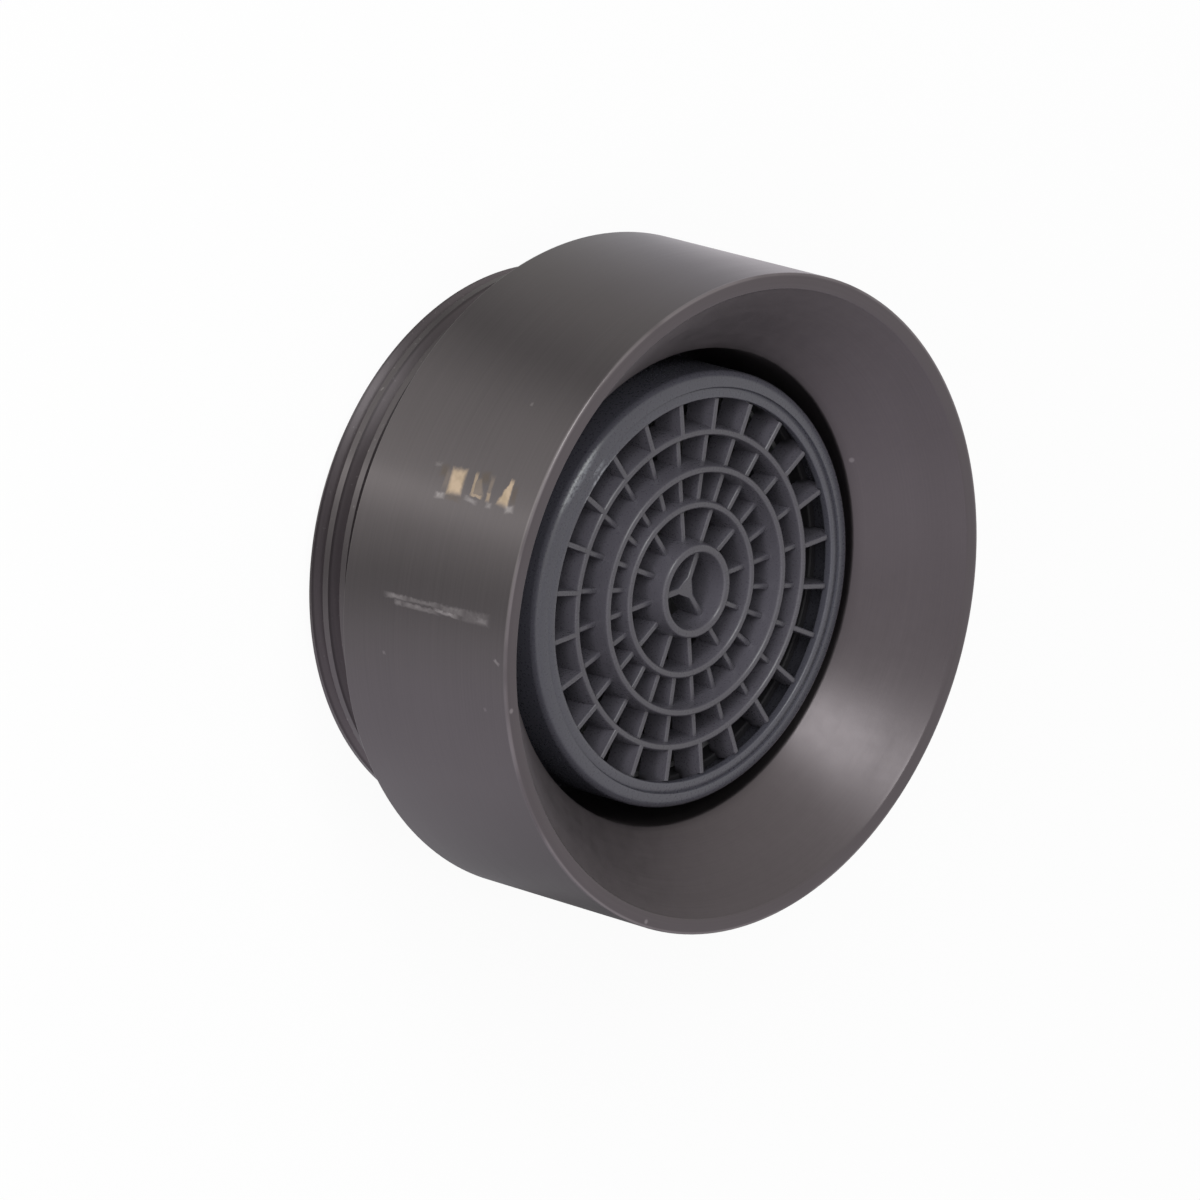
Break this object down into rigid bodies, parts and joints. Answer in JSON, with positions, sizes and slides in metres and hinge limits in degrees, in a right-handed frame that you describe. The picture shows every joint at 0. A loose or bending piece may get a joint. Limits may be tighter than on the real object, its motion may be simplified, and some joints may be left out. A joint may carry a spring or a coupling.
{
  "type": "tap aerator",
  "caption": "Male-thread tap aerator: short gunmetal cylinder with a flared mouth, holding a grey moulded insert whose outlet is a grid of rings and ribs.",
  "frame": {"origin": "on the axis, at the sealing washer's free face, on which the part stands", "axes": "+Z along the axis from the threaded inlet to the outlet, which faces up"},
  "size_m": [0.028, 0.028, 0.0143],
  "materials": {
    "gunmetal": "turned brass with a brushed gunmetal coating, worn through to brass in a few jaw marks",
    "grey_plastic": "satin moulded plastic, blue-grey",
    "inner_plastic": "matt moulded plastic, dark grey",
    "rubber": "matt black rubber"
  },
  "bodies": {
    "root": {"housing": "gunmetal", "seal_washer": "rubber", "strainer": "inner_plastic", "jet_plate": "inner_plastic", "insert_sleeve": "grey_plastic", "mixing_grid": "inner_plastic", "outlet_grid": "grey_plastic"}
  },
  "joints": []
}
